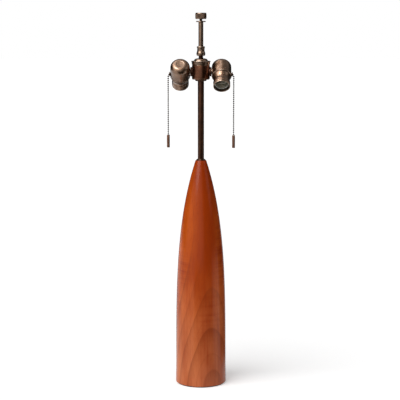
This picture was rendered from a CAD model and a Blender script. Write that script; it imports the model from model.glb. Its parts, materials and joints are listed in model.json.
# %% [markdown]
# # A turned wood table lamp
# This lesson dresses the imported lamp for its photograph: a tall turned wood body, a
# bronze neck, two pull-chain lamp holders and a knurled finial. The frame gives every
# solid its size and place, so the lesson only adds finer shapes and real finishes.
# Lengths in tables are in millimetres and each mesh is made in metres.

# %% Load the frame
import json
import math

import bmesh
import bpy
from mathutils import Matrix, Vector, noise

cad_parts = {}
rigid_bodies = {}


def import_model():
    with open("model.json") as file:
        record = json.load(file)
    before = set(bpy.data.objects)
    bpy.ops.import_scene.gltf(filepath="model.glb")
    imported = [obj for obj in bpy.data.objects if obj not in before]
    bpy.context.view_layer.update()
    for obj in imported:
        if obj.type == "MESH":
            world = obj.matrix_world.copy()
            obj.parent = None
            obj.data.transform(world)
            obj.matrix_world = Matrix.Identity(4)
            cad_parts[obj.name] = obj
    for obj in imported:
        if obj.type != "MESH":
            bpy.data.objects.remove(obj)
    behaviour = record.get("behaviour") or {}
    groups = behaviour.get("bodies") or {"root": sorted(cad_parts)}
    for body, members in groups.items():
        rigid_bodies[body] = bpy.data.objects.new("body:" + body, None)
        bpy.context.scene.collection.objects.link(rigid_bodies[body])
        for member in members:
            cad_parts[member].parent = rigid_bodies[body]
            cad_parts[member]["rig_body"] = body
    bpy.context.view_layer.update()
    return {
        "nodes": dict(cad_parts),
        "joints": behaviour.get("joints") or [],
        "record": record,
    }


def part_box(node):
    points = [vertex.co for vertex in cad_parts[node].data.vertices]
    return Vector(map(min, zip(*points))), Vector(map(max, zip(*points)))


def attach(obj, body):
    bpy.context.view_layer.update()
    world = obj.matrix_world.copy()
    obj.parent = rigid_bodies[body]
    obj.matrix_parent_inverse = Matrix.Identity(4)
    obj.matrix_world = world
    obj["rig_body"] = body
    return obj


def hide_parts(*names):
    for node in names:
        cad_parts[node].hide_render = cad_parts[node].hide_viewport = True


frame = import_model()
MM = 0.001

# %% [markdown]
# ## Two helpers for node trees
# A material or a shape rule is a tree of nodes. One function adds a node, fills its
# inputs and sets its choices, so that a tree reads like a recipe. Colours are written
# as a painter picks them on a screen, and one function turns them to linear light.


# %% Node and colour helpers
def linear(code):
    """A screen colour such as #b1602f as linear red, green, blue and alpha."""
    parts = [int(code[i : i + 2], 16) / 255 for i in (1, 3, 5)]
    curve = [c / 12.92 if c <= 0.04045 else ((c + 0.055) / 1.055) ** 2.4 for c in parts]
    return (*curve, 1.0)


def add(tree, kind, *inputs, **settings):
    """Adds a node. Inputs fill its sockets in order, and a dict fills them by name."""
    made = tree.nodes.new(kind)
    for name, value in settings.items():
        setattr(made, name, value)
    for place, given in enumerate(inputs):
        named = given if isinstance(given, dict) else {place: given}
        for key, value in named.items():
            if isinstance(value, bpy.types.Node):
                value = value.outputs[0]
            if isinstance(value, bpy.types.NodeSocket):
                tree.links.new(value, made.inputs[key])
            elif value is not None:
                made.inputs[key].default_value = value
    return made


print("linear #b1602f:", [round(c, 3) for c in linear("#b1602f")])

# %% [markdown]
# ## The camera
# The photograph was taken from about head height of the lamp, some way back, looking
# slightly down. A long lens keeps the neck and the body nearly parallel. The lens
# follows from the photograph's width in pixels and the size of the lamp in it.

# %% Camera
PHOTO_PX = 400
FOCAL_PX = 1400
SENSOR = 36
LOOK_DOWN = 8.3
CAMERA_PLACE = (-0.0018, -2.836, 0.7957)

camera_data = bpy.data.cameras.new("camera")
camera_data.sensor_width = SENSOR
camera_data.lens = FOCAL_PX / PHOTO_PX * SENSOR
camera = bpy.data.objects.new("camera", camera_data)
camera.location = CAMERA_PLACE
camera.rotation_euler = (math.radians(90 - LOOK_DOWN), 0, 0)
bpy.context.collection.objects.link(camera)
bpy.context.scene.camera = camera
print("lens:", camera_data.lens, "mm")

# %% [markdown]
# ## The studio
# The lamp stands on a white sweep. One broad soft source stands at the front left,
# so the soft shadow falls to the right and a little back. The camera sees only white.
# Metal shows what stands round it, and in the photograph it is dark. So shiny surfaces
# see the paper lit on some sides only, and past its end a dim room with soft boxes.


# %% Floor, surroundings and lights
FLOOR_SIZE = 30.0
FLOOR_LIFT = 0.36
AMBIENT = 0.26
DIM = 0.03
# Soft boxes that only shiny surfaces see: where, their half-angle, softness and level
SOFT_BOXES = [
    ((-0.59, -0.81, 0.04), 48, 22, 1.0),
    ((0.88, -0.27, 0.4), 17, 6, 0.7),
    ((-0.45, -0.05, 0.89), 26, 20, 2.2),
    ((-0.39, -0.49, 0.78), 8, 6, 18.0),
    ((0.2, 0.0, 0.98), 50, 30, 0.3),
]
# The paper is lit from the left, and through gaps on the right and behind: shiny
# surfaces see the rest in shadow. Each shadow has a middle and a half-angle.
DARK_SIDES = [((0.22, -0.97, 0.0), 44), ((0.85, 0.53, 0.0), 26), ((0.0, 1.0, 0.0), 26)]
SHADOW_SOFT = 8
# Metres from the lamp's foot: where those shadows fade in, and where the paper ends
SHADOW_FROM = (0.12, 0.3)
PAPER_END = (2.5, 5.0)


def facing(tree, ray, way, angle, soft):
    """1 where a ray points to within an angle of a way, fading to 0 over a soft edge."""
    dot = add(
        tree,
        "ShaderNodeVectorMath",
        ray,
        Vector(way).normalized(),
        operation="DOT_PRODUCT",
    )
    return add(
        tree,
        "ShaderNodeMapRange",
        {
            "Value": dot.outputs["Value"],
            "From Min": math.cos(math.radians(angle + soft / 2)),
            "From Max": math.cos(math.radians(angle - soft / 2)),
        },
        interpolation_type="SMOOTHSTEP",
    )


def ray_kinds(tree):
    """Two sockets: 1 for camera rays, and 1 for reflected or transmitted rays."""
    path = add(tree, "ShaderNodeLightPath").outputs
    shiny = add(
        tree,
        "ShaderNodeMath",
        path["Is Glossy Ray"],
        path["Is Transmission Ray"],
        operation="MAXIMUM",
    )
    return path["Is Camera Ray"], shiny.outputs[0]


def white_sweep():
    """White paper. Reflections see it in shadow on its dark sides, and see it end."""
    made = bpy.data.materials.new("white_paper_sweep")
    made.use_nodes = True
    tree = made.node_tree
    tree.nodes.clear()
    camera_ray, shiny_ray = ray_kinds(tree)
    level = add(tree, "ShaderNodeMath", camera_ray, shiny_ray, operation="MAXIMUM")
    level = add(tree, "ShaderNodeMath", level, FLOOR_LIFT, operation="MULTIPLY")
    glow = add(tree, "ShaderNodeEmission", (1, 1, 1, 1), level)
    paper = add(tree, "ShaderNodeBsdfDiffuse", (0.86, 0.86, 0.86, 1))
    lit = add(tree, "ShaderNodeAddShader", paper, glow)
    # A shiny surface sees shadow on the dark sides, and the room past the paper's end
    place = add(tree, "ShaderNodeTexCoord").outputs["Object"]
    away = add(tree, "ShaderNodeVectorMath", place, operation="LENGTH").outputs["Value"]
    far = add(
        tree,
        "ShaderNodeMapRange",
        {"Value": away, "From Min": PAPER_END[0], "From Max": PAPER_END[1]},
        interpolation_type="SMOOTHSTEP",
    )
    out = add(tree, "ShaderNodeVectorMath", place, operation="NORMALIZE")
    side = 0.0
    for way, angle in DARK_SIDES:
        here = facing(tree, out, way, angle, SHADOW_SOFT)
        side = add(tree, "ShaderNodeMath", here, side, operation="MAXIMUM")
    clear = add(
        tree,
        "ShaderNodeMapRange",
        {"Value": away, "From Min": SHADOW_FROM[0], "From Max": SHADOW_FROM[1]},
        interpolation_type="SMOOTHSTEP",
    )
    side = add(tree, "ShaderNodeMath", side, clear, operation="MULTIPLY")
    side = add(tree, "ShaderNodeMath", shiny_ray, side, operation="MULTIPLY")
    far = add(tree, "ShaderNodeMath", shiny_ray, far, operation="MULTIPLY")
    dark = add(tree, "ShaderNodeBsdfDiffuse", (DIM, DIM, DIM, 1))
    seen = add(tree, "ShaderNodeMixShader", side, lit, dark)
    through = add(tree, "ShaderNodeBsdfTransparent")
    seen = add(tree, "ShaderNodeMixShader", far, seen, through)
    add(tree, "ShaderNodeOutputMaterial", seen)
    return made


floor_mesh = bpy.data.meshes.new("studio_floor")
half = FLOOR_SIZE / 2
corners = [(-half, -half, 0), (half, -half, 0), (half, half, 0), (-half, half, 0)]
floor_mesh.from_pydata(corners, [], [(0, 1, 2, 3)])
floor_mesh.materials.append(white_sweep())
studio_floor = bpy.data.objects.new("studio_floor", floor_mesh)
bpy.context.collection.objects.link(studio_floor)

world = bpy.data.worlds.new("studio")
bpy.context.scene.world = world
world.use_nodes = True
tree = world.node_tree
tree.nodes.clear()
camera_ray, shiny_ray = ray_kinds(tree)
ray = add(tree, "ShaderNodeTexCoord").outputs["Generated"]
studio_level = DIM
for way, angle, soft, level in SOFT_BOXES:
    box = facing(tree, ray, way, angle, soft)
    studio_level = add(tree, "ShaderNodeMath", box, level, studio_level, operation="MULTIPLY_ADD")
air_level = add(
    tree,
    "ShaderNodeMapRange",
    {"Value": shiny_ray, "To Min": AMBIENT, "To Max": studio_level},
)
air_level = add(tree, "ShaderNodeMath", air_level, camera_ray, operation="MAXIMUM")
air = add(tree, "ShaderNodeBackground", (1, 1, 1, 1), air_level)
add(tree, "ShaderNodeOutputWorld", air)


def light(name, kind, place, power, **settings):
    """A light that points at the middle of the lamp."""
    data = bpy.data.lights.new(name, kind)
    data.energy = power
    for key, value in settings.items():
        setattr(data, key, value)
    made = bpy.data.objects.new(name, data)
    made.location = place
    aim = Vector((0, 0, 0.4)) - Vector(place)
    made.rotation_euler = aim.to_track_quat("-Z", "Y").to_euler()
    bpy.context.collection.objects.link(made)
    return made


light("key", "SUN", (-1.3, -1.5, 2.3), 2.5, angle=math.radians(56))
bpy.context.scene.view_settings.view_transform = "Standard"

# %% [markdown]
# ## Finishes: the wood
# The body is turned from one block of a close-grained fruitwood, stained warm
# red-brown and oiled. The growth rings are slim cones round the tree's heart, which
# runs up near the lamp's axis, and the turned surface cuts them into tall arches on the
# front. So the grain is worked out from the distance to that line, not painted on.


# %% Stained wood
RING_WIDTH = 4.7
HEART = (5.1, -8.6)
TAPER = 0.1265
TAPER_POWER = 1.4
FIRST_RING = 3.4
DRIFT = 0.004


def new_material(name):
    made = bpy.data.materials.new(name)
    made.use_nodes = True
    shader = made.node_tree.nodes["Principled BSDF"]
    return made, made.node_tree, shader


def stained_fruitwood():
    """Cherry, sanded fine, stained red-brown and oiled: a satin, faintly deep surface."""
    made, tree, shader = new_material("stained_fruitwood")
    place = add(tree, "ShaderNodeTexCoord").outputs["Object"]
    # Slow wander of the rings, drawn out along the trunk
    stretched = add(tree, "ShaderNodeMapping", {"Vector": place, "Scale": (9, 9, 3.2)})
    wander = add(
        tree, "ShaderNodeTexNoise", {"Vector": stretched, "Scale": 1.2, "Detail": 1.5}
    )
    drift = add(
        tree,
        "ShaderNodeVectorMath",
        wander.outputs["Color"],
        (-0.5, -0.5, -0.5),
        operation="ADD",
    )
    drift = add(tree, "ShaderNodeVectorMath", drift, {"Scale": DRIFT}, operation="SCALE")
    moved = add(tree, "ShaderNodeVectorMath", place, drift, operation="ADD")
    height = add(tree, "ShaderNodeSeparateXYZ", place).outputs["Z"]
    # The rings: distance from the upright heart, and the tree narrows with height
    heart = (HEART[0] * MM, HEART[1] * MM, 0)
    flat = add(tree, "ShaderNodeVectorMath", moved, heart, operation="SUBTRACT")
    flat = add(tree, "ShaderNodeVectorMath", flat, (1, 1, 0), operation="MULTIPLY")
    reach = add(tree, "ShaderNodeVectorMath", flat, operation="LENGTH").outputs["Value"]
    climb = add(tree, "ShaderNodeMath", height, TAPER_POWER, operation="POWER")
    reach = add(tree, "ShaderNodeMath", climb, TAPER, reach, operation="MULTIPLY_ADD")
    reach = add(tree, "ShaderNodeMath", reach, FIRST_RING * MM, operation="ADD")
    rings = add(tree, "ShaderNodeMath", reach, RING_WIDTH * MM, operation="DIVIDE")
    year = add(tree, "ShaderNodeMath", rings, operation="FRACT")
    # A ring darkens slowly towards its late wood and then ends sharply
    late = add(tree, "ShaderNodeMath", year, 3.5, operation="POWER")
    early = add(
        tree,
        "ShaderNodeMapRange",
        {"Value": year, "From Min": 0.96, "From Max": 1.0, "To Min": 1.0, "To Max": 0.0},
        interpolation_type="SMOOTHSTEP",
    )
    line = add(tree, "ShaderNodeMath", late, early, operation="MULTIPLY")
    # Dry spells leave thinner lines within a year
    spells = add(tree, "ShaderNodeMath", rings, 3.0, operation="MULTIPLY")
    spells = add(tree, "ShaderNodeMath", spells, operation="FRACT")
    spells = add(tree, "ShaderNodeMath", spells, 9.0, operation="POWER")
    spells = add(tree, "ShaderNodeMath", spells, 0.45, operation="MULTIPLY")
    line = add(tree, "ShaderNodeMath", line, spells, operation="MAXIMUM")
    # Years differ: some lines are bold and some hardly show
    whole = add(tree, "ShaderNodeMath", rings, operation="FLOOR")
    years = add(tree, "ShaderNodeTexWhiteNoise", {"W": whole}, noise_dimensions="1D")
    bold = add(
        tree,
        "ShaderNodeMapRange",
        {"Value": years.outputs["Value"], "To Min": 0.45, "To Max": 1.0},
    )
    line = add(tree, "ShaderNodeMath", line, bold, operation="MULTIPLY")
    # Lines show most low down, where the stain is thin
    low_down = add(
        tree,
        "ShaderNodeMapRange",
        {"Value": height, "From Min": 0.34, "From Max": 0.15, "To Min": 0.3, "To Max": 1.0},
    )
    line = add(tree, "ShaderNodeMath", line, low_down, operation="MULTIPLY")
    # Stain: redder and deeper towards the top and the right, paler near the foot
    up = add(
        tree,
        "ShaderNodeMapRange",
        {"Value": height, "From Min": 0.05, "From Max": 0.29},
        interpolation_type="SMOOTHSTEP",
    )
    stain = add(
        tree,
        "ShaderNodeMix",
        {"Factor": up, 6: linear("#c66f42"), 7: linear("#c85a14")},
        data_type="RGBA",
    )
    across = add(tree, "ShaderNodeSeparateXYZ", place).outputs["X"]
    over = add(
        tree,
        "ShaderNodeMapRange",
        {"Value": across, "From Min": -0.044, "From Max": 0.01},
        interpolation_type="SMOOTHSTEP",
    )
    back = add(
        tree,
        "ShaderNodeMapRange",
        {"Value": across, "From Min": 0.022, "From Max": 0.034, "To Min": 1.0, "To Max": 0.4},
        interpolation_type="SMOOTHSTEP",
    )
    drunk = add(tree, "ShaderNodeMapRange", {"Value": up, "To Min": 0.15, "To Max": 0.85})
    over = add(tree, "ShaderNodeMath", over, drunk, operation="MULTIPLY")
    over = add(tree, "ShaderNodeMath", over, back, operation="MULTIPLY")
    stain = add(
        tree,
        "ShaderNodeMix",
        {"Factor": over, 6: stain.outputs[2], 7: linear("#8c2a04")},
        data_type="RGBA",
    )
    # Blotches where the wood drank more stain
    patches = add(tree, "ShaderNodeMapping", {"Vector": place, "Scale": (14, 14, 5)})
    blotch = add(
        tree, "ShaderNodeTexNoise", {"Vector": patches, "Scale": 1.6, "Detail": 4.0}
    )
    deep = add(
        tree,
        "ShaderNodeMapRange",
        {"Value": blotch, "From Min": 0.4, "From Max": 0.7, "To Max": 0.6},
    )
    # Ripples across the grain, 5 mm apart, where the fibres lean in and out
    across = add(tree, "ShaderNodeMapping", {"Vector": place, "Scale": (12, 12, 210)})
    ripple = add(
        tree, "ShaderNodeTexNoise", {"Vector": across, "Scale": 1.0, "Detail": 2.0}
    )
    ripple = add(
        tree,
        "ShaderNodeMapRange",
        {"Value": ripple, "From Min": 0.4, "From Max": 0.7, "To Max": 0.8},
    )
    # The ripples show only here and there
    here = add(
        tree,
        "ShaderNodeMapRange",
        {"Value": wander, "From Min": 0.38, "From Max": 0.62},
    )
    here = add(tree, "ShaderNodeMath", here, up, operation="MULTIPLY")
    ripple = add(tree, "ShaderNodeMath", ripple, here, operation="MULTIPLY")
    deep = add(tree, "ShaderNodeMath", deep, ripple, operation="ADD", use_clamp=True)
    # Long faint streaks along the grain, 4 mm wide
    fibres = add(tree, "ShaderNodeMapping", {"Vector": place, "Scale": (260, 260, 10)})
    streak = add(
        tree, "ShaderNodeTexNoise", {"Vector": fibres, "Scale": 1.0, "Detail": 3.0}
    )
    streak = add(
        tree,
        "ShaderNodeMapRange",
        {"Value": streak, "From Min": 0.48, "From Max": 0.72, "To Max": 0.22},
    )
    deep = add(tree, "ShaderNodeMath", deep, streak, operation="ADD", use_clamp=True)
    stain = add(
        tree,
        "ShaderNodeMix",
        {"Factor": deep, 6: stain.outputs[2], 7: linear("#8e2c05")},
        data_type="RGBA",
    )
    # Pores: short dark dashes along the grain, drawn 1 mm wide so that they show
    dashes = add(tree, "ShaderNodeMapping", {"Vector": place, "Scale": (900, 900, 60)})
    pores = add(
        tree, "ShaderNodeTexNoise", {"Vector": dashes, "Scale": 1.0, "Detail": 2.0}
    )
    pore = add(
        tree,
        "ShaderNodeMapRange",
        {"Value": pores, "From Min": 0.56, "From Max": 0.75, "To Max": 0.35},
    )
    dark = add(tree, "ShaderNodeMath", line, pore, operation="ADD", use_clamp=True)
    dark = add(tree, "ShaderNodeMath", dark, 0.6, operation="MULTIPLY")
    wood = add(
        tree,
        "ShaderNodeMix",
        {"Factor": dark, 6: stain.outputs[2], 7: linear("#6e2a0d")},
        data_type="RGBA",
    )
    gloss = add(
        tree, "ShaderNodeMapRange", {"Value": pores, "To Min": 0.1, "To Max": 0.22}
    )
    bump = add(
        tree,
        "ShaderNodeBump",
        {"Strength": 0.12, "Distance": 0.0002, "Height": pores.outputs[0]},
        invert=True,
    )
    tree.links.new(wood.outputs[2], shader.inputs["Base Color"])
    tree.links.new(gloss.outputs[0], shader.inputs["Roughness"])
    tree.links.new(bump.outputs[0], shader.inputs["Normal"])
    shader.inputs["IOR"].default_value = 1.47
    shader.inputs["Specular IOR Level"].default_value = 0.18
    return made


wood_finish = stained_fruitwood()
print("wood nodes:", len(wood_finish.node_tree.nodes))

# %% [markdown]
# ## Finishes: the metals
# The fittings are spun and turned brass with an oil-rubbed bronze patina: dark brown
# in the hollows, worn to a warm tan where fingers and cloths reach the edges. Each
# turned mesh carries an attribute named edge that says how sharp it is there, and the
# patina reads it. Faint rings round the axis are left by the lathe. Where the patina is
# thick, the finish is only partly metal, and that keeps its colour in the shade.


# %% Bronze, steel and the rest
def patinated(
    name, dark, warm, worn, roughness, lacquer=0.0, metallic=1.0, centre=(0, 0, 0), lean=(0, 0, 0)
):
    """Bronze with a rubbed patina. centre and lean bring the lathe's rings onto the axis."""
    made, tree, shader = new_material(name)
    place = add(tree, "ShaderNodeTexCoord").outputs["Object"]
    if any(lean):
        place = add(
            tree,
            "ShaderNodeMapping",
            {"Vector": place, "Location": centre, "Rotation": lean},
            vector_type="TEXTURE",
        ).outputs[0]
    # Mottling: the patina took unevenly over patches of a centimetre or so
    mottle = add(
        tree,
        "ShaderNodeTexNoise",
        {"Vector": place, "Scale": 90.0, "Detail": 5.0, "Roughness": 0.6},
    )
    share = add(
        tree, "ShaderNodeMapRange", {"Value": mottle, "From Min": 0.35, "From Max": 0.65}
    )
    patina = add(
        tree,
        "ShaderNodeMix",
        {"Factor": share, 6: linear(dark), 7: linear(warm)},
        data_type="RGBA",
    )
    # Rings that the lathe left, drawn 0.6 mm apart so that they show
    rows = add(tree, "ShaderNodeMapping", {"Vector": place, "Scale": (15, 15, 1700)})
    spun = add(tree, "ShaderNodeTexNoise", {"Vector": rows, "Scale": 1.0, "Detail": 1.0})
    edge = add(tree, "ShaderNodeAttribute", attribute_name="edge")
    rubbed = add(
        tree, "ShaderNodeMath", edge.outputs["Fac"], mottle, operation="MULTIPLY"
    )
    rubbed = add(
        tree, "ShaderNodeMapRange", {"Value": rubbed, "From Min": 0.2, "From Max": 0.55}
    )
    skin = add(
        tree,
        "ShaderNodeMix",
        {"Factor": rubbed, 6: patina.outputs[2], 7: linear(worn)},
        data_type="RGBA",
    )
    gloss = add(
        tree,
        "ShaderNodeMapRange",
        {"Value": spun, "To Min": roughness - 0.08, "To Max": roughness + 0.1},
    )
    bump = add(
        tree,
        "ShaderNodeBump",
        {"Strength": 0.1, "Distance": 0.0001, "Height": spun.outputs[0]},
    )
    tree.links.new(skin.outputs[2], shader.inputs["Base Color"])
    tree.links.new(gloss.outputs[0], shader.inputs["Roughness"])
    tree.links.new(bump.outputs[0], shader.inputs["Normal"])
    shader.inputs["Metallic"].default_value = metallic
    # A thin clear lacquer keeps the patina, and gives small white glints
    shader.inputs["Coat Weight"].default_value = lacquer
    shader.inputs["Coat Roughness"].default_value = 0.1
    return made


def speckled(name, low, high, roughness, metallic, grain_mm, bumps):
    """A plain finish whose colour and height vary in grains of a real size."""
    made, tree, shader = new_material(name)
    place = add(tree, "ShaderNodeTexCoord").outputs["Object"]
    grain = add(
        tree,
        "ShaderNodeTexNoise",
        {"Vector": place, "Scale": 1 / (grain_mm * MM), "Detail": 3.0},
    )
    skin = add(
        tree,
        "ShaderNodeMix",
        {"Factor": grain.outputs[0], 6: linear(low), 7: linear(high)},
        data_type="RGBA",
    )
    gloss = add(
        tree,
        "ShaderNodeMapRange",
        {"Value": grain, "To Min": roughness - 0.07, "To Max": roughness + 0.07},
    )
    bump = add(
        tree,
        "ShaderNodeBump",
        {"Strength": bumps, "Distance": 0.0002, "Height": grain.outputs[0]},
    )
    tree.links.new(skin.outputs[2], shader.inputs["Base Color"])
    tree.links.new(gloss.outputs[0], shader.inputs["Roughness"])
    tree.links.new(bump.outputs[0], shader.inputs["Normal"])
    shader.inputs["Metallic"].default_value = metallic
    return made


# The sockets' bronze is made once for each socket, because each leans its own way
SOCKET_BRONZE = ("#644834", "#896b54", "#cdb7a2", 0.33, 0.8)
# Oil-rubbed, for the fittings on the axis, and umber, for the dark neck and its rings
rubbed_bronze = patinated("oil_rubbed_bronze", "#5b4432", "#7f644e", "#c6b09b", 0.3, 0.9)
umber_bronze = patinated("umber_bronze", "#301a0e", "#472815", "#8a6c54", 0.34, metallic=0.75)
# Red-brown for the cup, plain brown for the pulls, and near black for the chains
cup_bronze = patinated("red_brown_bronze", "#543121", "#6d452f", "#b79478", 0.3, 0.2)
pull_bronze = patinated("brown_bronze_pull", "#664433", "#714e3a", "#a3866f", 0.5, metallic=0.5)
aged_brass = patinated("aged_brass_chain", "#20160f", "#36281e", "#6a5646", 0.4)
# Zinc-plated steel: pale grey, slightly spangled
zinc_steel = speckled("zinc_plated_steel", "#8f9194", "#b4b6b8", 0.35, 1.0, 1.5, 0.05)
# Drawn aluminium, dulled by heat to a greenish grey
drawn_aluminium = speckled("drawn_aluminium", "#a39e8e", "#d6d2c4", 0.38, 0.8, 2.5, 0.08)
# The same metal where lamp bases rub its lip bright
bright_aluminium = speckled("bright_aluminium", "#efede6", "#fbfaf5", 0.5, 0.4, 2.5, 0.02)
# Compression-moulded phenolic: near black, with a faint grain of wood flour
phenolic = speckled("moulded_phenolic", "#1b1613", "#2d2621", 0.45, 0.0, 0.8, 0.1)
# Vulcanised fibre: dark grey-brown card, matt
fibre = speckled("vulcanised_fibre", "#2e2720", "#473c30", 0.8, 0.0, 0.7, 0.25)
# Contact brass: bright where it is stamped
contact_brass = speckled("stamped_brass", "#a98646", "#c8a765", 0.33, 1.0, 2.0, 0.05)
# Cotton-covered lead: brown thread
cotton = speckled("cotton_braid", "#4a2f1c", "#6b4a2e", 0.9, 0.0, 0.6, 0.5)
# Pressed wool felt: dark brown, fully matt, fibrous
felt = speckled("pressed_wool_felt", "#2c1f17", "#4a382b", 0.95, 0.0, 0.7, 0.8)
print("materials:", len(bpy.data.materials))

# %% Finish every CAD node by its slot
SLOT_FINISH = {
    "turned_wood": wood_finish,
    "antique_bronze": rubbed_bronze,
    "dark_bronze": umber_bronze,
    "zinc_steel": zinc_steel,
    "screw_aluminium": drawn_aluminium,
    "phenolic": phenolic,
    "fibre_board": fibre,
    "chain_brass": aged_brass,
    "contact_brass": contact_brass,
    "lead_cover": cotton,
    "felt": felt,
}
for part in frame["record"]["subparts"]:
    solid = frame["nodes"][part["node"]]
    if not solid.material_slots:
        solid.data.materials.append(None)
    for held in solid.material_slots:
        held.material = SLOT_FINISH[part["material_slot"]]

# %% [markdown]
# ## A lathe in mesh code
# Nearly every visible piece was turned on a lathe, so one helper turns a profile of
# radius and height into a closed mesh. Another eases its corners, because no real
# edge is knife sharp and an eased edge catches the light. The mesh also keeps how
# sharply each ring bulges, which the patina reads as wear.


# %% Lathe helpers
AROUND = 96


def arc(centre, radii, start, end, steps):
    """Points on part of an ellipse, from one angle to another in degrees."""
    turns = [math.radians(start + (end - start) * i / steps) for i in range(steps + 1)]
    return [
        (centre[0] + radii[0] * math.cos(t), centre[1] + radii[1] * math.sin(t)) for t in turns
    ]


def eased(profile, ease=0.4, steps=3):
    """Rounds the corners of a profile that turn by more than 25 degrees."""
    points = [Vector(p) for p in profile]
    closed = profile[0][0] > 0
    made = []
    for i, here in enumerate(points):
        if not closed and i in (0, len(points) - 1):
            made.append(here)
            continue
        back, ahead = points[i - 1] - here, points[(i + 1) % len(points)] - here
        if math.pi - back.angle(ahead, math.pi) < math.radians(25):
            made.append(here)
            continue
        cut = min(ease, 0.4 * back.length, 0.4 * ahead.length)
        start, end = here + back.normalized() * cut, here + ahead.normalized() * cut
        for k in range(steps + 1):
            t = k / steps
            made.append(start * (1 - t) ** 2 + here * 2 * t * (1 - t) + end * t**2)
    return [tuple(p) for p in made]


def anticlockwise(profile):
    """The profile in the order that makes faces point outwards."""
    area = sum(
        a[0] * b[1] - b[0] * a[1] for a, b in zip(profile, [*profile[1:], profile[0]])
    )
    return list(profile) if area > 0 else list(reversed(profile))


def bulge(profile, i, closed):
    """How sharply the profile turns outwards at a point, from 0 to 1."""
    if not closed and i in (0, len(profile) - 1):
        return 0.0
    a, b, c = (Vector(profile[k % len(profile)]) for k in (i - 1, i, i + 1))
    if min((b - a).length, (c - b).length) < 1e-6:
        return 0.0
    turn = -(b - a).angle_signed(c - b, 0.0)
    return max(0.0, min(1.0, turn / ((b - a).length + (c - b).length) * 1.4))


def placed(name, mesh, place=None):
    """A mesh drawn in millimetres becomes an object in metres, at its place."""
    mesh.transform(Matrix.Scale(MM, 4) @ (place or Matrix.Identity(4)))
    made = bpy.data.objects.new(name, mesh)
    bpy.context.collection.objects.link(made)
    return made


def lathe(name, profile, place=None, around=AROUND, open_side=False):
    """Turns a profile of (radius, height) points in millimetres about local Z.
    An open side leaves out the wall between the profile's last and first points."""
    turned = anticlockwise(profile)
    closed = min(p[0] for p in (turned[0], turned[-1])) > 1e-6
    verts, rings, wear = [], [], []
    for i, (radius, height) in enumerate(turned):
        count = around if radius > 1e-6 else 1
        turns = [2 * math.pi * k / around for k in range(count)]
        rings.append(range(len(verts), len(verts) + count))
        verts += [(radius * math.cos(t), radius * math.sin(t), height) for t in turns]
        wear += [bulge(turned, i, closed)] * count
    faces = []
    pairs = list(zip(rings, rings[1:]))
    if closed and not open_side:
        pairs.append((rings[-1], rings[0]))
    for low, high in pairs:
        for k in range(around):
            nxt = (k + 1) % around
            below = [low[k % len(low)], low[nxt % len(low)]]
            above = [high[nxt % len(high)], high[k % len(high)]]
            face = list(dict.fromkeys(below + above))
            if len(face) > 2:
                faces.append(face)
    mesh = bpy.data.meshes.new(name)
    mesh.from_pydata(verts, [], faces)
    mesh.attributes.new("edge", "FLOAT", "POINT").data.foreach_set("value", wear)
    mesh.shade_smooth()
    mesh.set_sharp_from_angle(angle=math.radians(35))
    return placed(name, mesh, place)


def joined(*parts, weld=0.0, sharp=35):
    """Several meshes as one object, under the first one's name. A weld closes seams."""
    work = bmesh.new()
    for part in parts:
        work.from_mesh(part.data)
    if weld:
        bmesh.ops.remove_doubles(work, verts=work.verts, dist=weld * MM)
        bmesh.ops.recalc_face_normals(work, faces=work.faces)
    whole = parts[0].data
    work.to_mesh(whole)
    work.free()
    whole.shade_smooth()
    whole.set_sharp_from_angle(angle=math.radians(sharp))
    for part in parts[1:]:
        bpy.data.objects.remove(part)
    return parts[0]


def carved(piece, *tools, operation="DIFFERENCE"):
    """Cuts the tools out of a piece, or joins them to it, and uses them up."""
    for tool in tools:
        step = piece.modifiers.new(tool.name, "BOOLEAN")
        step.operation, step.solver, step.object = operation, "MANIFOLD", tool
    evaluated = piece.evaluated_get(bpy.context.evaluated_depsgraph_get())
    made = bpy.data.meshes.new_from_object(evaluated)
    piece.modifiers.clear()
    piece.data = made
    made.shade_smooth()
    made.set_sharp_from_angle(angle=math.radians(35))
    for tool in tools:
        bpy.data.objects.remove(tool)
    return piece


def fitted(piece, finish, *nodes):
    """Finishes a piece. It takes the nodes' place, on their body and in their slot."""
    piece.data.materials.clear()
    piece.data.materials.append(finish)
    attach(piece, frame["nodes"][nodes[0]]["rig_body"])
    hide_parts(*nodes)
    return piece


def span(node):
    """A node's lowest and highest corners in millimetres."""
    low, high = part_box(node)
    return Vector(low) / MM, Vector(high) / MM


print("a washer's eased profile:", len(eased([(3, 0), (9, 0), (9, 2), (3, 2)])), "points")

# %% [markdown]
# ## Rules that repeat
# Threads, beads and knurls follow a rule, so Geometry Nodes make them. Each tree has
# one named input for each size. The result is kept as a plain mesh, because a moving
# lamp needs each piece on its own body and not in a live modifier.


# %% Rule helpers
def new_rule(name, **sizes):
    """A Geometry Nodes tree with a named input for each size."""
    tree = bpy.data.node_groups.new(name, "GeometryNodeTree")
    for label, value in sizes.items():
        kind = "NodeSocketInt" if isinstance(value, int) else "NodeSocketFloat"
        socket = tree.interface.new_socket(label, in_out="INPUT", socket_type=kind)
        socket.default_value = value
    tree.interface.new_socket("Finish", in_out="INPUT", socket_type="NodeSocketMaterial")
    tree.interface.new_socket("Geometry", in_out="OUTPUT", socket_type="NodeSocketGeometry")
    return tree, add(tree, "NodeGroupInput").outputs


def close_rule(tree, given, shape):
    """Ends a rule: real geometry, smooth, with its finish."""
    real = add(tree, "GeometryNodeRealizeInstances", shape)
    smooth = add(tree, "GeometryNodeSetShadeSmooth", real)
    coat = {"Geometry": smooth, "Material": given["Finish"]}
    add(tree, "NodeGroupOutput", add(tree, "GeometryNodeSetMaterial", coat))


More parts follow.
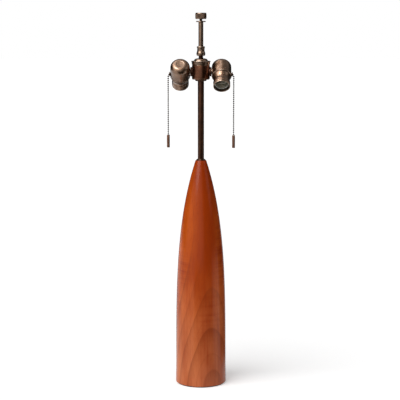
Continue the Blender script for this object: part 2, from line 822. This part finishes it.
def grown(name, tree, finish, place=None, **sizes):
    """Runs a rule once and keeps the result as a plain mesh."""
    seed = bpy.data.objects.new(name + "_seed", bpy.data.meshes.new(name + "_seed"))
    bpy.context.collection.objects.link(seed)
    rule = seed.modifiers.new("rule", "NODES")
    rule.node_group = tree
    for item in tree.interface.items_tree:
        if item.in_out == "INPUT" and item.name in sizes:
            rule[item.identifier] = sizes[item.name]
        if item.name == "Finish":
            rule[item.identifier] = finish
    evaluated = seed.evaluated_get(bpy.context.evaluated_depsgraph_get())
    mesh = bpy.data.meshes.new_from_object(evaluated)
    mesh.name = name
    bpy.data.objects.remove(seed)
    return placed(name, mesh, place)


def rolled_sheet(tree, across, along):
    """A unit grid, with its turn in radians and its climb from 0 to 1."""
    columns = add(tree, "ShaderNodeMath", across, 1.0, operation="ADD")
    grid = add(tree, "GeometryNodeMeshGrid", 1.0, 1.0, columns, along)
    spot = add(tree, "ShaderNodeSeparateXYZ", add(tree, "GeometryNodeInputPosition"))
    turn = add(
        tree,
        "ShaderNodeMath",
        spot.outputs["X"],
        2 * math.pi,
        math.pi,
        operation="MULTIPLY_ADD",
    )
    climb = add(tree, "ShaderNodeMath", spot.outputs["Y"], 0.5, operation="ADD")
    return grid, turn, climb


def wrapped(tree, grid, turn, radius, height):
    """Wraps the grid round Z at a radius and height, and welds its seam."""
    cosine = add(tree, "ShaderNodeMath", turn, operation="COSINE")
    sine = add(tree, "ShaderNodeMath", turn, operation="SINE")
    x = add(tree, "ShaderNodeMath", radius, cosine, operation="MULTIPLY")
    y = add(tree, "ShaderNodeMath", radius, sine, operation="MULTIPLY")
    where = add(tree, "ShaderNodeCombineXYZ", x, y, height)
    skin = add(tree, "GeometryNodeSetPosition", {"Geometry": grid, "Position": where})
    return add(tree, "GeometryNodeMergeByDistance", {"Geometry": skin, "Distance": 0.001})


print("rule helpers ready")

# %% [markdown]
# ## The wood body
# The body's outline is a rule too: a straight cylinder that turns in late, by a high
# power of the height, with a slight flare at the foot. A curve drawn by hand would
# wobble, and the eye finds a wobble at once on a plain turned form. The underside,
# with its recess and the drilled hole, is turned on the lathe and welded on.

# %% Turn the body
SHOULDER_R = 51.2
TOP_R = 11.0
CURVE_POWER = 3.7
FLARE = 0.95
FLARE_H = 90.0
FOOT_EDGE = 1.6
TOP_EDGE = 0.6
RECESS_R = 32.0
RECESS_H = 22.0
PIPE_HOLE_R = 5.2

body_low, body_high = span("wood_body")
WOOD_Z = body_low.z
WOOD_H = body_high.z - body_low.z


def body_radius(h):
    """Radius of the turned body at a height above its foot."""
    narrowing = (SHOULDER_R - TOP_R) * (h / WOOD_H) ** CURVE_POWER
    return SHOULDER_R - narrowing + FLARE * max(0.0, 1 - h / FLARE_H) ** 2


tree, given = new_rule(
    "turn_the_body",
    Start=0.0,
    End=1.0,
    Height=1.0,
    Shoulder=1.0,
    Top=1.0,
    Power=1.0,
    Flare=0.0,
    FlareHeight=1.0,
    Around=AROUND,
    Rings=160,
)
grid, turn, climb = rolled_sheet(tree, given["Around"], given["Rings"])
height = add(
    tree,
    "ShaderNodeMapRange",
    {"Value": climb, "To Min": given["Start"], "To Max": given["End"]},
)
share = add(tree, "ShaderNodeMath", height, given["Height"], operation="DIVIDE")
power = add(tree, "ShaderNodeMath", share, given["Power"], operation="POWER")
drop = add(tree, "ShaderNodeMath", given["Shoulder"], given["Top"], operation="SUBTRACT")
narrowing = add(tree, "ShaderNodeMath", power, drop, operation="MULTIPLY")
straight = add(tree, "ShaderNodeMath", given["Shoulder"], narrowing, operation="SUBTRACT")
low = add(tree, "ShaderNodeMath", height, given["FlareHeight"], operation="DIVIDE")
low = add(tree, "ShaderNodeMath", 1.0, low, operation="SUBTRACT")
low = add(tree, "ShaderNodeMath", low, 0.0, operation="MAXIMUM")
low = add(tree, "ShaderNodeMath", low, 2.0, operation="POWER")
radius = add(tree, "ShaderNodeMath", low, given["Flare"], straight, operation="MULTIPLY_ADD")
close_rule(tree, given, wrapped(tree, grid, turn, radius, height))

skin = grown(
    "wood_turning",
    tree,
    wood_finish,
    Matrix.Translation((0, 0, WOOD_Z)),
    Start=FOOT_EDGE,
    End=WOOD_H - TOP_EDGE,
    Height=WOOD_H,
    Shoulder=SHOULDER_R,
    Top=TOP_R,
    Power=CURVE_POWER,
    Flare=FLARE,
    FlareHeight=FLARE_H,
    Around=2 * AROUND,
)
inside = [
    (body_radius(WOOD_H - TOP_EDGE), WOOD_H - TOP_EDGE),
    (TOP_R - 0.25, WOOD_H - 0.15),
    (TOP_R - 0.7, WOOD_H),
    (PIPE_HOLE_R, WOOD_H),
    (PIPE_HOLE_R, RECESS_H),
    (RECESS_R, RECESS_H),
    (RECESS_R, 0.5),
    (RECESS_R + 0.5, 0),
    *arc((body_radius(0) - FOOT_EDGE, FOOT_EDGE), (FOOT_EDGE, FOOT_EDGE), -90, 0, 6)[:-1],
    (body_radius(FOOT_EDGE), FOOT_EDGE),
]
core = lathe(
    "wood_core",
    inside,
    Matrix.Translation((0, 0, WOOD_Z)),
    2 * AROUND,
    open_side=True,
)
wood = joined(skin, core, weld=0.02)

# The cord's inlet at the back: a bore into the recess and a flat seat round it
inlet_low, inlet_high = span("cord_bushing")
INLET_Z = (inlet_low.z + inlet_high.z) / 2
backwards = Matrix.Translation((0, 0, INLET_Z)) @ Matrix.Rotation(math.radians(-90), 4, "X")
SEAT_Y = inlet_high.y - 1.8
bore = [(0, RECESS_R - 6), (5, RECESS_R - 6), (5, 60), (0, 60)]
seat = [(0, SEAT_Y), (6.7, SEAT_Y), (6.7, 60), (0, 60)]
carved(wood, lathe("bore", bore, backwards), lathe("seat", seat, backwards))
fitted(wood, wood_finish, "wood_body")
print("wood body:", len(wood.data.polygons), "faces, height", round(WOOD_H, 1), "mm")

# %% [markdown]
# ## The cord bushing and the felt
# The bushing is a moulded tube whose flange and mouth are well rounded, so that they
# don't chafe a cord. The felt is a soft disc: its edge is pressed round, and it thins
# a little where the wood's rim stands on it. Noise lifts its fibres unevenly.

# %% Mould the bushing and press the felt
INLET_BORE = 3.5
BUSHING_R = 4.9
FLANGE_R = 6.4
bushing_shape = [
    (INLET_BORE, inlet_low.y),
    (BUSHING_R, inlet_low.y),
    (BUSHING_R, SEAT_Y),
    (FLANGE_R, SEAT_Y),
    *arc((FLANGE_R - 0.9, inlet_high.y - 0.9), (0.9, 0.9), 0, 90, 6),
    *arc((INLET_BORE + 0.9, inlet_high.y - 0.9), (0.9, 0.9), 90, 180, 6),
]
bushing = lathe("bushing_moulded", eased(bushing_shape, 0.2), backwards, 48)
fitted(bushing, phenolic, "cord_bushing")

felt_low, felt_high = span("felt_pad")
FELT_R, FELT_T = felt_high.x, felt_high.z - felt_low.z
felt_shape = [(0, 0.3), (FELT_R - 8, 0.3), (FELT_R - 5, 0), (FELT_R - 0.9, 0)]
felt_shape += arc((FELT_R - 0.9, 0.9), (0.9, 0.9), -90, 0, 5)[1:]
felt_shape += arc((FELT_R - 0.9, FELT_T - 0.9), (0.9, 0.9), 0, 90, 5)
felt_shape += [(FELT_R - 6, FELT_T), (0, FELT_T)]
felt_disc = lathe("felt_pressed", felt_shape, Matrix.Translation((0, 0, felt_low.z)))
for vert in felt_disc.data.vertices:
    lift = noise.noise(vert.co / (1.3 * MM))
    vert.co.x *= 0.997 + 0.003 * lift
    vert.co.y *= 0.997 + 0.003 * lift
fitted(felt_disc, felt, "felt_pad")
print("bushing and felt:", len(bushing.data.polygons) + len(felt_disc.data.polygons), "faces")

# %% [markdown]
# ## The fittings on the lamp's axis
# Each fitting is one profile, read from the photograph and from the solid that it
# stands for. Heights count from the bottom of that solid, so a profile moves with it.
# Small coves and rounded edges are drawn out, because they carry the highlights.

# %% Turn the fittings
PIPE_HOLE = 4.9


def height_of(node):
    low, high = span(node)
    return high.z - low.z


neck_h, rod_h = height_of("neck_tube"), height_of("riser_rod")
swell = [(7.45 + 1.55 * (1 + math.cos(math.pi * k / 10)) / 2, 4 + 0.68 * k) for k in range(1, 11)]
FITTINGS = {
    "check_ring": (
        umber_bronze,
        [(PIPE_HOLE, 0), (9.5, 0), *arc((7.4, 0.6), (2.1, 1.6), 0, 90, 8), (7.4, 2.8)]
        + [(PIPE_HOLE, 2.8)],
    ),
    "neck_tube": (umber_bronze, [(5.35, 0), (6.35, 0), (6.35, neck_h), (5.35, neck_h)]),
    "cluster_seat": (
        umber_bronze,
        [(PIPE_HOLE, 0), (10.85, 0), (11.35, 0.5), (11.35, 3.1), (PIPE_HOLE, 3.1)],
    ),
    "cluster_cup": (
        cup_bronze,
        [(PIPE_HOLE, 0), (16.65, 0), *arc((16.65, 1), (1, 1), -90, 0, 6)[1:], (17.65, 2)]
        + [(18.15, 2.5), (18.15, 28.4), (16.75, 28.4), (16.75, 1.6), (PIPE_HOLE, 1.6)],
    ),
    "cluster_cover": (
        rubbed_bronze,
        [(PIPE_HOLE, 10.3), (15.4, 10.3), (15.4, 0), (16.6, 0), (16.6, 3), (17.35, 3)]
        + [(17.35, 4.4), (18.6, 4.4), *arc((20, 8.5), (1.4, 2.2), 180, 90, 8)]
        + [(20, 11.5), (19.4, 11.8), (14.7, 11.8), (14.7, 12.5)]
        + [*arc((6.5, 12.5), (7.5, 4.4), 0, 90, 14), (PIPE_HOLE, 16.9)],
    ),
    "coupling": (
        rubbed_bronze,
        [(0, 8.8), (PIPE_HOLE, 8.8), (PIPE_HOLE, 0), (7.7, 0)]
        + [*arc((7.7, 4), (1.3, 4), -80, 0, 10), *swell, (7.45, 14.4), (8.05, 15.4)]
        + [(8.05, 18.3), (7.55, 18.8), (5, 18.8), (5, 10.2), (0, 10.2)],
    ),
    "riser_rod": (
        rubbed_bronze,
        [(0, 0), (4.9, 0), (4.9, rod_h), (3.2, rod_h), (3.2, rod_h - 8.5), (0, rod_h - 8.5)],
    ),
    "shade_washer": (
        rubbed_bronze,
        [(3.2, 0), (9.15, 0), *arc((9.15, 1.1), (0.5, 1.1), -80, 80, 8), (9.15, 2.2)]
        + [(3.2, 2.2)],
    ),
}
turned_pieces = {}
for node, (finish, profile) in FITTINGS.items():
    base = Matrix.Translation((0, 0, span(node)[0].z))
    turned_pieces[node] = lathe(node + "_turned", eased(profile), base)
    if node != "cluster_cup":
        fitted(turned_pieces[node], finish, node)

# The side arms pass through the cup's wall, and a collar fills the gap to each socket
ARM_Z = frame["joints"][1]["pos_m"][2] / MM
CUP_R = 18.15
collar = [(PIPE_HOLE, 14.15), (8.5, 14.15), (9.5, 19.3), *arc((8.5, 20.3), (1, 1), 0, 90, 5)]
collar += [(PIPE_HOLE, 21.3)]
collars = []
for turn in (0, 180):
    outwards = Matrix.Translation((0, 0, ARM_Z)) @ Matrix.Rotation(math.radians(turn), 4, "Z")
    outwards = outwards @ Matrix.Rotation(math.radians(90), 4, "Y")
    arm_hole = lathe("arm_hole", [(0, 0), (PIPE_HOLE, 0), (PIPE_HOLE, 30), (0, 30)], outwards)
    carved(turned_pieces["cluster_cup"], arm_hole)
    piece = lathe("arm_collar", eased(collar), outwards)
    cup_core = [(0, ARM_Z - 20), (CUP_R + 0.03, ARM_Z - 20)]
    cup_core += [(CUP_R + 0.03, ARM_Z + 20), (0, ARM_Z + 20)]
    collars.append(carved(piece, lathe("cup_core", cup_core)))
fitted(turned_pieces["cluster_cup"], cup_bronze, "cluster_cup")
fitted(joined(*collars), umber_bronze, "arm_collars")
print("turned fittings:", len(FITTINGS) + 1)

# %% [markdown]
# ## Threads and knurls
# One rule rolls a thread: a sheet is wrapped round the axis and its radius waves once
# for each pitch, a little later with each degree of turn. The sheet is then given a
# wall. Plain bands at both ends keep the edges round, as a rolled shell has them.

# %% Thread and knurl rules
tree, given = new_rule(
    "roll_a_thread",
    Radius=1.0,
    Depth=0.1,
    Pitch=1.0,
    Length=1.0,
    Plain=0.1,
    Wall=0.1,
    Around=AROUND,
    Rings=64,
)
grid, turn, climb = rolled_sheet(tree, given["Around"], given["Rings"])
height = add(tree, "ShaderNodeMath", climb, given["Length"], operation="MULTIPLY")
turns = add(tree, "ShaderNodeMath", height, given["Pitch"], operation="DIVIDE")
phase = add(tree, "ShaderNodeMath", turns, 2 * math.pi, turn, operation="MULTIPLY_ADD")
wave = add(tree, "ShaderNodeMath", phase, operation="COSINE")
wave = add(
    tree,
    "ShaderNodeMapRange",
    {"Value": wave, "From Min": -1.0, "To Min": 1.0, "To Max": 0.0},
)
# How far the nearer end is, less the plain band, in pitches
other = add(tree, "ShaderNodeMath", given["Length"], height, operation="SUBTRACT")
nearer = add(tree, "ShaderNodeMath", height, other, operation="MINIMUM")
nearer = add(tree, "ShaderNodeMath", nearer, given["Plain"], operation="SUBTRACT")
nearer = add(tree, "ShaderNodeMath", nearer, given["Pitch"], operation="DIVIDE")
fade = add(tree, "ShaderNodeMapRange", {"Value": nearer}, interpolation_type="SMOOTHSTEP")
sink = add(tree, "ShaderNodeMath", wave, fade, operation="MULTIPLY")
sink = add(tree, "ShaderNodeMath", sink, given["Depth"], operation="MULTIPLY")
radius = add(tree, "ShaderNodeMath", given["Radius"], sink, operation="SUBTRACT")
skin = wrapped(tree, grid, turn, radius, height)
wall = add(
    tree,
    "GeometryNodeExtrudeMesh",
    {"Mesh": skin, "Offset Scale": given["Wall"], "Individual": False},
    mode="FACES",
)
back = add(tree, "GeometryNodeFlipFaces", {"Mesh": skin})
both = add(tree, "GeometryNodeJoinGeometry", wall)
tree.links.new(back.outputs[0], both.inputs[0])
both = add(tree, "GeometryNodeMergeByDistance", {"Geometry": both, "Distance": 0.001})
close_rule(tree, given, both)
thread_rule = tree

tree, given = new_rule(
    "cut_the_knurls",
    Radius=1.0,
    Depth=0.1,
    Ridges=48.0,
    Start=0.0,
    End=1.0,
    Around=6 * 48,
    Rings=14,
)
grid, turn, climb = rolled_sheet(tree, given["Around"], given["Rings"])
height = add(
    tree,
    "ShaderNodeMapRange",
    {"Value": climb, "To Min": given["Start"], "To Max": given["End"]},
)
phase = add(tree, "ShaderNodeMath", turn, given["Ridges"], operation="MULTIPLY")
wave = add(tree, "ShaderNodeMath", phase, operation="COSINE")
wave = add(tree, "ShaderNodeMapRange", {"Value": wave, "From Min": -1.0})
# The ridges rise within the first and last sixth of the band
inwards = add(tree, "ShaderNodeMath", climb, 0.5, operation="PINGPONG")
rise = add(
    tree,
    "ShaderNodeMapRange",
    {"Value": inwards, "From Max": 0.16},
    interpolation_type="SMOOTHSTEP",
)
ridge = add(tree, "ShaderNodeMath", wave, rise, operation="MULTIPLY")
ridge = add(tree, "ShaderNodeMath", ridge, given["Depth"], operation="MULTIPLY")
radius = add(tree, "ShaderNodeMath", given["Radius"], ridge, operation="ADD")
close_rule(tree, given, wrapped(tree, grid, turn, radius, height))
knurl_rule = tree

PIPE_PITCH = 25.4 / 27
for node, radius in (("riser_nipple", 4.8), ("finial_stud", 3.1)):
    base = Matrix.Translation((0, 0, span(node)[0].z))
    length = height_of(node)
    piece = grown(
        node + "_threaded",
        thread_rule,
        umber_bronze,
        base,
        Radius=radius,
        Depth=0.45,
        Pitch=PIPE_PITCH,
        Length=length,
        Plain=0.2,
        Wall=-1.4,
        Around=48,
        Rings=round(8 * length / PIPE_PITCH),
    )
    # A wall that grows inwards leaves its faces the wrong way round
    fitted(joined(piece, weld=0.001), umber_bronze, node)

FINIAL_CORE = 10.9
FINIAL_RIDGE = 0.45
FINIAL_EDGE = 1.2
finial_h = height_of("finial")
base = Matrix.Translation((0, 0, span("finial")[0].z))
band = grown(
    "finial_knurled",
    knurl_rule,
    rubbed_bronze,
    base,
    Radius=FINIAL_CORE,
    Depth=FINIAL_RIDGE,
    Start=FINIAL_EDGE,
    End=finial_h - FINIAL_EDGE,
)
ends = [
    (FINIAL_CORE, finial_h - FINIAL_EDGE),
    *arc((9.7, finial_h - 1.2), (1.2, 1.2), 0, 90, 6)[1:],
    (0, finial_h),
    (0, 8.6),
    (3.16, 8.6),
    (3.16, 0),
    *arc((9.7, 1.2), (1.2, 1.2), -90, 0, 6)[:-1],
    (FINIAL_CORE, FINIAL_EDGE),
]
ends = lathe("finial_ends", ends, base, 6 * 48, open_side=True)
fitted(joined(band, ends, weld=0.02, sharp=50), rubbed_bronze, "finial")
print("knurled finial:", len(band.data.polygons), "faces")

# %% [markdown]
# ## The sockets
# A socket is spun from thin brass in two parts. The cap has a flat end and a full
# round shoulder, the shell nests in it and swells to the mouth. Both are turned about
# the socket's own axis, which leans 45 degrees, and the other socket is the same one
# turned half round. Distances count from the cap's end, as on a shop drawing.

# %% Spin the sockets
TILT = 45
CAP_REACH = 22.8
CAP_R = 19.85
SOCKET_LEN = 62.3
BELL_DROP = 7.5
SCREW_R = 13.3
SCREW_EDGE = 56.3
THREAD_LEN = 12.6
SCREW_LEN = 17.0
SCREW_PITCH = 25.4 / 7
BEND_X = 20.1
BEND_R = 4.4
BEAD_R = 1.6
PITCH = 4.17
STUB = PITCH - 2 * BEAD_R - 0.35
SIDES = {"left": 180, "right": 0}


def from_cap(points):
    """Distances from the cap's end become heights in the socket's frame."""
    return [(radius, CAP_REACH - s) for radius, s in points]


cap_shape = [
    (0, 0.6),
    (7.4, 0.6),
    (7.9, 0),
    (9, 0),
    *arc((10.2, 11.5), (9.65, -11.5), 84, 0, 20),
    (CAP_R, 33.2),
    *arc((19.0, 34.7), (1.3, 1.3), -50, 90, 10),
    (18.95, 36),
    (18.95, 11.5),
    *arc((10.2, 11.5), (8.75, -10.3), 0, 82, 14),
    (7.4, 1.4),
    (0, 1.4),
]
taper = [(18.5 - 2.4 * math.sin(math.pi * k / 20), 37.3 + 0.98 * k) for k in range(1, 11)]
flare = [(16.1 + 0.55 * (1 - math.cos(math.pi * k / 10)), 47.1 + 0.55 * k) for k in range(1, 11)]
shell_shape = [
    (18.75, 30.6),
    (18.75, 35),
    (18.1, 36.3),
    (18.1, 36.8),
    (18.5, 37.3),
    *taper,
    *flare,
    (17.2, 58.5),
    *arc((17.2, 59.75), (0.5, 0.75), -90, -270, 6),
    *arc((16.8, 61.4), (0.4, 0.9), -90, 90, 8),
    (15.8, SOCKET_LEN),
    (15.8, 51.1),
    (15.2, 48.9),
    (15.2, 45.1),
    (17.2, 37.3),
    (17.85, 35),
    (17.85, 30.6),
]
rear_shape = [(SCREW_R, THREAD_LEN), (14, THREAD_LEN), (13, 13.6), (13, SCREW_LEN)]
rear_shape += [(5, SCREW_LEN), (5, 16.2), (12.3, 16.2), (12.3, 13.6)]
bell_shape = [
    (1.89, 17.2),
    *arc((BEND_R, BEND_X), (2.5, 2.5), 180, 90, 12),
    *arc((4.9, 22.38), (0.3, 0.37), 90, -90, 8),
    (4.2, 21.75),
    (3.5, 21.5),
    (3.1, 20.15),
    (3.0, 20.15),
    (3.0, 18.3),
    (3.8, 18.3),
    (3.8, 17.2),
]
hub_shape = [(4.86, -20.15), (7.2, -20.15), (7.5, -19.8), (7.5, -17.4), (4.86, -17.4)]

hang = {}
for side, turn in SIDES.items():
    swivel = next(j for j in frame["joints"] if j["name"] == side + "_socket_swivel")
    centre = Vector(swivel["pos_m"])
    upright = Matrix.Translation(centre / MM) @ Matrix.Rotation(math.radians(turn), 4, "Z")
    chain_drop = BELL_DROP * math.sin(math.radians(TILT))
    hang[side] = upright @ Matrix.Translation((0, -chain_drop, -chain_drop))
    socket = upright @ Matrix.Rotation(math.radians(-TILT), 4, "X")
    across = socket @ Matrix.Rotation(math.radians(90), 4, "Y")
    bell = across @ Matrix.Translation((BELL_DROP, 0, 0))
    leaning = (math.radians(-TILT), 0, math.radians(turn))
    name = "bronze_" + side + "_socket"
    finish = patinated(name, *SOCKET_BRONZE, centre=centre, lean=leaning)

    cap = lathe(side + "_cap_spun", eased(from_cap(cap_shape), 0.25), socket)
    carved(cap, lathe("hub", eased(hub_shape, 0.3), across), operation="UNION")
    arm = lathe("arm", [(0, -40), (4.86, -40), (4.86, 0), (0, 0)], across)
    outlet = lathe("outlet", [(0, 0), (3.06, 0), (3.06, 40), (0, 40)], bell)
    fitted(carved(cap, arm, outlet), finish, side + "_cap")

    shell = lathe(side + "_shell_spun", eased(from_cap(shell_shape), 0.25), socket)
    slot = lathe("slot", [(0, 0), (4.1, 0), (4.1, 40), (0, 40)], bell)
    fitted(carved(shell, slot), finish, side + "_shell")

    mouth = socket @ Matrix.Translation((0, 0, CAP_REACH - SCREW_EDGE))
    thread = grown(
        side + "_screw_shell_rolled",
        thread_rule,
        drawn_aluminium,
        mouth,
        Radius=SCREW_R,
        Depth=0.55,
        Pitch=SCREW_PITCH,
        Length=THREAD_LEN,
        Plain=0.9,
        Wall=0.6,
        Rings=72,
    )
    rear = lathe("screw_rear", eased(rear_shape, 0.3), mouth)
    lip = lathe("screw_lip", arc((SCREW_R + 0.45, 0.75), (0.75, 0.75), 0, 330, 11), mouth)
    lip_faces = len(lip.data.polygons)
    screw = fitted(joined(thread, rear, lip), drawn_aluminium, side + "_screw_shell")
    screw.data.materials.append(bright_aluminium)
    for face in list(screw.data.polygons)[-lip_faces:]:
        face.material_index = 1

    trumpet = lathe(side + "_bell_turned", bell_shape, bell, 64)
    fitted(trumpet, aged_brass, side + "_chain_bell")
print("socket pieces:", 4 * len(SIDES))

# %% [markdown]
# ## The pull chains
# A ball chain is one bead and one pitch, repeated. The rule sets beads on a line and
# threads one wire through them, so a single bead and a string of 29 are the same
# rule with another count. A bead is a few dozen faces, because it repeats so often.

# %% String the beads
tree, given = new_rule(
    "string_the_beads", Count=1, Pitch=PITCH, Bead=BEAD_R, Wire=0.25, Stub=STUB
)
down = add(tree, "ShaderNodeMath", given["Pitch"], -1.0, operation="MULTIPLY")
line = add(
    tree,
    "GeometryNodeMeshLine",
    {
        "Count": given["Count"],
        "Offset": add(tree, "ShaderNodeCombineXYZ", 0.0, 0.0, down).outputs[0],
    },
)
ball = add(
    tree,
    "GeometryNodeMeshUVSphere",
    {"Segments": 16, "Rings": 10, "Radius": given["Bead"]},
)
beads = add(tree, "GeometryNodeInstanceOnPoints", {"Points": line, "Instance": ball})
gaps = add(tree, "ShaderNodeMath", given["Count"], 1.0, operation="SUBTRACT")
run = add(tree, "ShaderNodeMath", gaps, given["Pitch"], operation="MULTIPLY")
reach = add(tree, "ShaderNodeMath", given["Bead"], given["Stub"], operation="ADD")
length = add(tree, "ShaderNodeMath", run, reach, operation="ADD")
middle = add(tree, "ShaderNodeMath", reach, run, operation="SUBTRACT")
middle = add(tree, "ShaderNodeMath", middle, 0.5, operation="MULTIPLY")
wire = add(
    tree,
    "GeometryNodeMeshCylinder",
    {"Vertices": 10, "Radius": given["Wire"], "Depth": length},
)
middle = add(tree, "ShaderNodeCombineXYZ", 0.0, 0.0, middle)
wire = add(tree, "GeometryNodeTransform", {"Geometry": wire, "Translation": middle})
both = add(tree, "GeometryNodeJoinGeometry", beads)
tree.links.new(wire.outputs[0], both.inputs[0])
close_rule(tree, given, both)
bead_rule = tree

bend_len = BEND_R * math.pi / 2
# The pull: a plain drop, with the ring band that shows near its lower end
pull_shape = [
    (1.7, 0),
    (2.3, 0),
    *arc((2.3, -0.8), (0.7, 0.8), 90, 0, 5),
    (3.0, -18.6),
    (2.7, -18.9),
    (2.7, -19.3),
    (3.0, -19.6),
    *arc((2.2, -25), (0.8, 0.8), 0, -90, 5),
    (0, -25.8),
    (0, -4.4),
    (1.7, -4.4),
]
for side in SIDES:
    low, high = span(side + "_bead_chain")
    column = Matrix.Translation(((low.x + high.x) / 2, (low.y + high.y) / 2, 0))
    count = round((high.z - low.z - 2 * BEAD_R - STUB) / PITCH) + 1
    top = Matrix.Translation((0, 0, high.z - BEAD_R - STUB))
    chain = grown(side + "_chain_strung", bead_rule, aged_brass, column @ top, Count=count)
    fitted(chain, aged_brass, side + "_bead_chain")
    # The three beads on the bend: each is turned to the path at its own place
    for node, back in (("top_bead", 0), ("bend_bead_b", 1), ("bend_bead_a", 2)):
        s = bend_len + 0.1 - back * PITCH
        angle = max(0.0, min(math.pi / 2, s / BEND_R))
        x = BEND_X + BEND_R * math.sin(angle) + min(0.0, s)
        z = BEND_R * (math.cos(angle) - 1) - max(0.0, s - bend_len)
        along = Matrix.Rotation(angle - math.pi / 2, 4, "Y")
        spot = hang[side] @ Matrix.Translation((x, 0, z)) @ along
        bead = grown(side + "_" + node + "_ball", bead_rule, aged_brass, spot, Count=1)
        fitted(bead, aged_brass, side + "_" + node)
    low, high = span(side + "_chain_pull")
    column = Matrix.Translation(((low.x + high.x) / 2, (low.y + high.y) / 2, high.z))
    pull = lathe(side + "_pull_turned", pull_shape, column, 48)
    fitted(pull, pull_bronze, side + "_chain_pull")
print("beads on a chain:", count)
